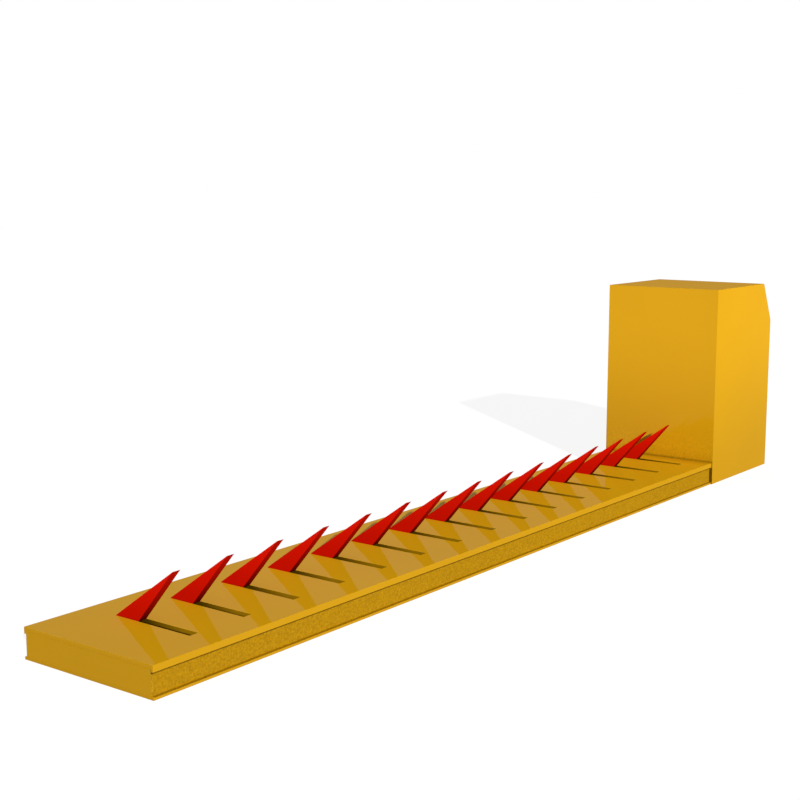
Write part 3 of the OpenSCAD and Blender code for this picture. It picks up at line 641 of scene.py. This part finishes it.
def cabinet_foot_shade_and_specks(place, facing):
    """Painted shade low on the wall and under the cover, and grime specks that thin out upwards."""
    front = part_of(facing, "X") < -0.5
    # painted shade: the joint with the cover, a low band above it, and the gap below it
    joint = shade_band(place, deck_high.z + 0.012, deck_high.z + 0.003, 0.62)
    low_shade = shade_band(place, deck_high.z + 0.05, deck_high.z, 0.86)
    below = shade_band(place, deck_low.z, deck_low.z - 0.004, 0.35)
    reach = shade_band(place, deck_high.z, deck_high.z + 0.16, 0.0)
    specks = (noise(place, 150.0) - 0.5) * reach * 0.8 + 1
    return 1 - front * (1 - joint * low_shade * below * specks)


print("darker places: slots, cut edges, corners, ledge, end sides and foot")

# %% Yellow and red enamel
DRIFT_SCALE, DRIFT_TONE, DRIFT_ROUGH = 2.3, 0.08, 0.06
PEEL_DEPTH, GRAIN_ROUGH, MIRROR_ROUGH = 0.0004, 0.3, 0.04
# dusty layer and painted shade on faces across the strip and on top; a face along the strip has 1
ACROSS_DUST_SHADE, TOP_DUST_SHADE = 1.33, 0.5
# how far a face is turned away when its mirror starts to gain, and when it is full
TURNED = (0.58, 0.74)


def enamel(name, colour, rough=0.13, peel=0.02, grain=0.02, grain_scale=420.0, dust_shade=0.25,
           reach=(0.0, 0.68), shine=0.04, shade=None):
    """The dusty layer with its painted shade, darker low down, is full at the height reach[0]
    and gone at reach[1]. The shine is the mirror's share on a face that is turned away."""
    material, wire = new_finish(name)
    place, facing = (wire.node("TexCoord", out=out) for out in ("Object", "Normal"))
    drift, fine = noise(place, DRIFT_SCALE), noise(place, grain_scale)
    across, along = (abs(part_of(facing, axis)) for axis in "XY")
    # painted shade and a dusty layer: darker low down, more on faces across the strip, some on tops
    dust_shade_tone = (across * ACROSS_DUST_SHADE + along) * fade(part_of(place, "Z"), *reach, dust_shade, 0.0, "SMOOTHSTEP")
    dust_shade_tone = dust_shade_tone + wire.maths("MAXIMUM", part_of(facing, "Z"), 0.0) * dust_shade * TOP_DUST_SHADE
    tone = (drift - 0.5) * DRIFT_TONE + (fine - 0.5) * grain - dust_shade_tone + 1
    if shade:
        tone = tone * shade(place, facing)
    peeled = relief(fine, peel, PEEL_DEPTH)
    coat = wire.node("BsdfPrincipled", values={
        "Base Color": tint(colour, tone), "Specular IOR Level": 0.0, "Normal": peeled,
        "Roughness": (drift - 0.5) * DRIFT_ROUGH + (fine - 0.5) * grain * GRAIN_ROUGH + rough})
    mirror = wire.node("BsdfGlossy", values={"Roughness": MIRROR_ROUGH, "Normal": peeled})
    tilt = wire.node("LayerWeight", values={"Blend": 0.5}, out="Facing")
    share = fade(tilt, *TURNED, shine / 5, shine)
    wire.node("OutputMaterial", values={
        "Surface": wire.node("MixShader", values={0: share, 1: coat, 2: mirror})})
    return material


print("enamel, with a mirror that gains from", TURNED[0], "to", TURNED[1])

# %% The coats
YELLOW, RED = (0.845, 0.433, 0.0065), (0.7, 0.0075, 0.0006)
# the webs' darker yellow is painted shade under the lips; their grain is the coat's own
WEB_SHADE_TONE = 0.66
gloss_yellow = enamel("gloss_yellow", YELLOW)
cabinet_yellow = enamel("cabinet_yellow", YELLOW, shade=cabinet_foot_shade_and_specks)
deck_yellow = enamel("deck_yellow", YELLOW, dust_shade=0.22, shade=deck_shade)
base_yellow = enamel("base_yellow", YELLOW, shade=ledge_shade)
end_yellow = enamel("end_yellow", YELLOW, dust_shade=0.22, shade=end_side_shade)
dry_shaded_yellow = enamel("dry_shaded_yellow", [WEB_SHADE_TONE * part for part in YELLOW], rough=0.5, peel=0.5,
                    grain=DRY_GRAIN, grain_scale=DRY_SCALE, dust_shade=0.15, shine=0.02, shade=web_corner_shade)
# the red's dusty layer and painted shade darken the spikes towards the cover
gloss_red = enamel("gloss_red", RED, rough=0.2, peel=0.03, grain=0.05, dust_shade=0.26,
                   reach=(0.07, 0.24), shine=0.006, shade=cut_edge_scale_and_shade)
print("six yellow coats and a red one mixed")

# %% [markdown]
# ## Bare metal, castings, plastic and rubber
# Turned and ground steel shows fine rings or streaks along one direction, a
# casting shows a sandy skin, and moulded plastic shows a spark-eroded texture.
# Each is one noise pattern, stretched or not, at the scale of the real thing.


# %% Metals
CLOUD_SCALE, CLOUD_TONE = 18.0, 0.5
METAL_ROUGH, LINE_STRENGTH, LINE_DEPTH = 0.15, 0.15, 0.0003


def metal(name, colour, rough, stretch, streak):
    """stretch is the lines' number to the metre along X, Y and Z, and streak their change of tone."""
    material, wire = new_finish(name)
    place = wire.node("TexCoord", out="Object")
    lines = noise(wire.node("Mapping", values={"Vector": place, "Scale": stretch}), 1.0, 4.0)
    cloud = noise(place, CLOUD_SCALE)
    tone = (lines - 0.5) * streak + (cloud - 0.5) * CLOUD_TONE + 1
    wire.node("OutputMaterial", values={"Surface": wire.node("BsdfPrincipled", values={
        "Base Color": tint(colour, tone), "Metallic": 1.0,
        "Roughness": (lines - 0.5) * METAL_ROUGH + (cloud - 0.5) * METAL_ROUGH + rough,
        "Normal": relief(lines, LINE_STRENGTH, LINE_DEPTH)})})
    return material


zinc = metal("zinc", (0.5, 0.52, 0.5), 0.38, (300, 300, 300), 0.5)
hinge_steel = metal("hinge_steel", (0.36, 0.36, 0.37), 0.34, (600, 600, 40), 0.5)
ground_steel = metal("ground_steel", (0.5, 0.5, 0.52), 0.2, (900, 60, 60), 0.3)
dark_steel = metal("dark_steel", (0.16, 0.16, 0.18), 0.4, (400, 400, 400), 0.2)
forged_steel = metal("forged_steel", (0.20, 0.21, 0.23), 0.55, (250, 250, 250), 0.5)
bronze = metal("bronze", (0.62, 0.40, 0.15), 0.35, (700, 80, 80), 0.2)
aluminium = metal("aluminium", (0.6, 0.61, 0.62), 0.35, (60, 700, 60), 0.3)
print("metals mixed")


# %% Machine paint, plastic and rubber
SMEAR_SCALE, SMEAR_TONE = 7.0, 0.2
PIT_TONE, PIT_ROUGH, PIT_DEPTH = 0.15, 0.2, 0.0004


def skin(name, colour, rough, scale, strength):
    """scale is the pits' number to the metre, and strength how clearly they show."""
    material, wire = new_finish(name)
    place = wire.node("TexCoord", out="Object")
    pits, smear = noise(place, scale, 2.0), noise(place, SMEAR_SCALE)
    tone = (smear - 0.5) * SMEAR_TONE + (pits - 0.5) * PIT_TONE + 1
    wire.node("OutputMaterial", values={"Surface": wire.node("BsdfPrincipled", values={
        "Base Color": tint(colour, tone), "Roughness": (pits - 0.5) * PIT_ROUGH + rough,
        "Normal": relief(pits, strength, PIT_DEPTH)})})
    return material


gearbox_grey = skin("gearbox_grey", (0.10, 0.14, 0.19), 0.4, 500, 0.3)
motor_grey = skin("motor_grey", (0.05, 0.06, 0.07), 0.45, 420, 0.4)
sensor_black = skin("sensor_black", (0.02, 0.02, 0.022), 0.5, 900, 0.2)
box_grey = skin("box_grey", (0.52, 0.54, 0.53), 0.45, 1100, 0.25)
black_plastic = skin("black_plastic", (0.015, 0.015, 0.015), 0.5, 900, 0.25)
rubber = skin("rubber", (0.012, 0.012, 0.012), 0.75, 600, 0.35)
print("skins mixed")

# %% Every piece takes its finish
FINISHES = {
    "yellow_paint": gloss_yellow, "red_paint": gloss_red, "zinc_steel": zinc,
    "hinge_steel": hinge_steel, "ground_steel": ground_steel, "dark_steel": dark_steel,
    "forged_steel": forged_steel, "bronze": bronze, "tube_aluminium": aluminium,
    "gearbox_paint": gearbox_grey, "motor_paint": motor_grey, "sensor_plastic": sensor_black,
    "box_plastic": box_grey, "black_plastic": black_plastic, "seal_rubber": rubber,
}
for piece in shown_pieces():
    finish = FINISHES[piece["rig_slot"] if "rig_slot" in piece else slot_of[piece["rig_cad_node"]]]
    piece.data.materials.clear()
    piece.data.materials.append(finish)
for piece, coat in (
        (near_web, dry_shaded_yellow), (far_web, dry_shaded_yellow), (deck, deck_yellow), (ground_plate, base_yellow),
        (end_face, end_yellow), (frame["nodes"]["drive_end_plate"], end_yellow),
        (cabinet, cabinet_yellow)):
    piece.data.materials[0] = coat

# %% [markdown]
# ## Light and ground
# One low lamp stands behind the camera's right shoulder, under an even pale sky.
# The ground and the sky look white to the camera and in a reflection, but give
# the object far less light than that, so that its colours stay as they are. The
# ground keeps the object's shadow.

# %% The lamp
LAMP_TOWARDS, LAMP_HEIGHT, LAMP_SPREAD, LAMP_STRENGTH = -36, 22, 1, 1.18
lamp_data = bpy.data.lights.new("key", "SUN")
lamp_data.energy, lamp_data.angle = LAMP_STRENGTH * pi, radians(LAMP_SPREAD)
lamp = bpy.data.objects.new("key", lamp_data)
lamp.rotation_euler = (radians(90 - LAMP_HEIGHT), 0, radians(LAMP_TOWARDS))
bpy.context.collection.objects.link(lamp)
print("lamp hung", LAMP_HEIGHT, "degrees high")


# %% Sky
def looked_at(wire):
    """1 where the camera, a reflection or glass looks, and 0 for the light on the object."""
    rays = [wire.node("LightPath", out=kind)
            for kind in ("Is Camera Ray", "Is Glossy Ray", "Is Transmission Ray")]
    return wire.maths("MAXIMUM", wire.maths("MAXIMUM", rays[0], rays[1]), rays[2])


SKY_LIGHT = 0.25
world = bpy.data.worlds.new("sky")
bpy.context.scene.world = world
world.use_nodes = True
world.node_tree.nodes.clear()
sky = Wire(world.node_tree)
sky.node("OutputWorld", values={"Surface": sky.node("Background", values={
    "Color": (1, 1, 1, 1), "Strength": looked_at(sky) * (1 - SKY_LIGHT) + SKY_LIGHT})})
print("sky", SKY_LIGHT)

# %% Ground
GROUND_REACH, GROUND_T = 30, 0.06
GROUND_TONE, GROUND_GLOW = 0.2, 0.875
ground = slab("ground", (-GROUND_REACH, -GROUND_REACH, -GROUND_T), (GROUND_REACH, GROUND_REACH, 0))
material, wire = new_finish("white_ground")
matt = wire.node("BsdfDiffuse", values={"Color": (GROUND_TONE, GROUND_TONE, GROUND_TONE, 1)})
glow = wire.node("Emission", values={
    "Color": (1, 1, 1, 1), "Strength": looked_at(wire) * GROUND_GLOW})
wire.node("OutputMaterial", values={"Surface": wire.node("AddShader", values={0: matt, 1: glow})})
ground.data.materials.append(material)
print("ground laid")

# %% The look of the picture
bpy.context.scene.view_settings.view_transform = "Standard"
choose(camera)
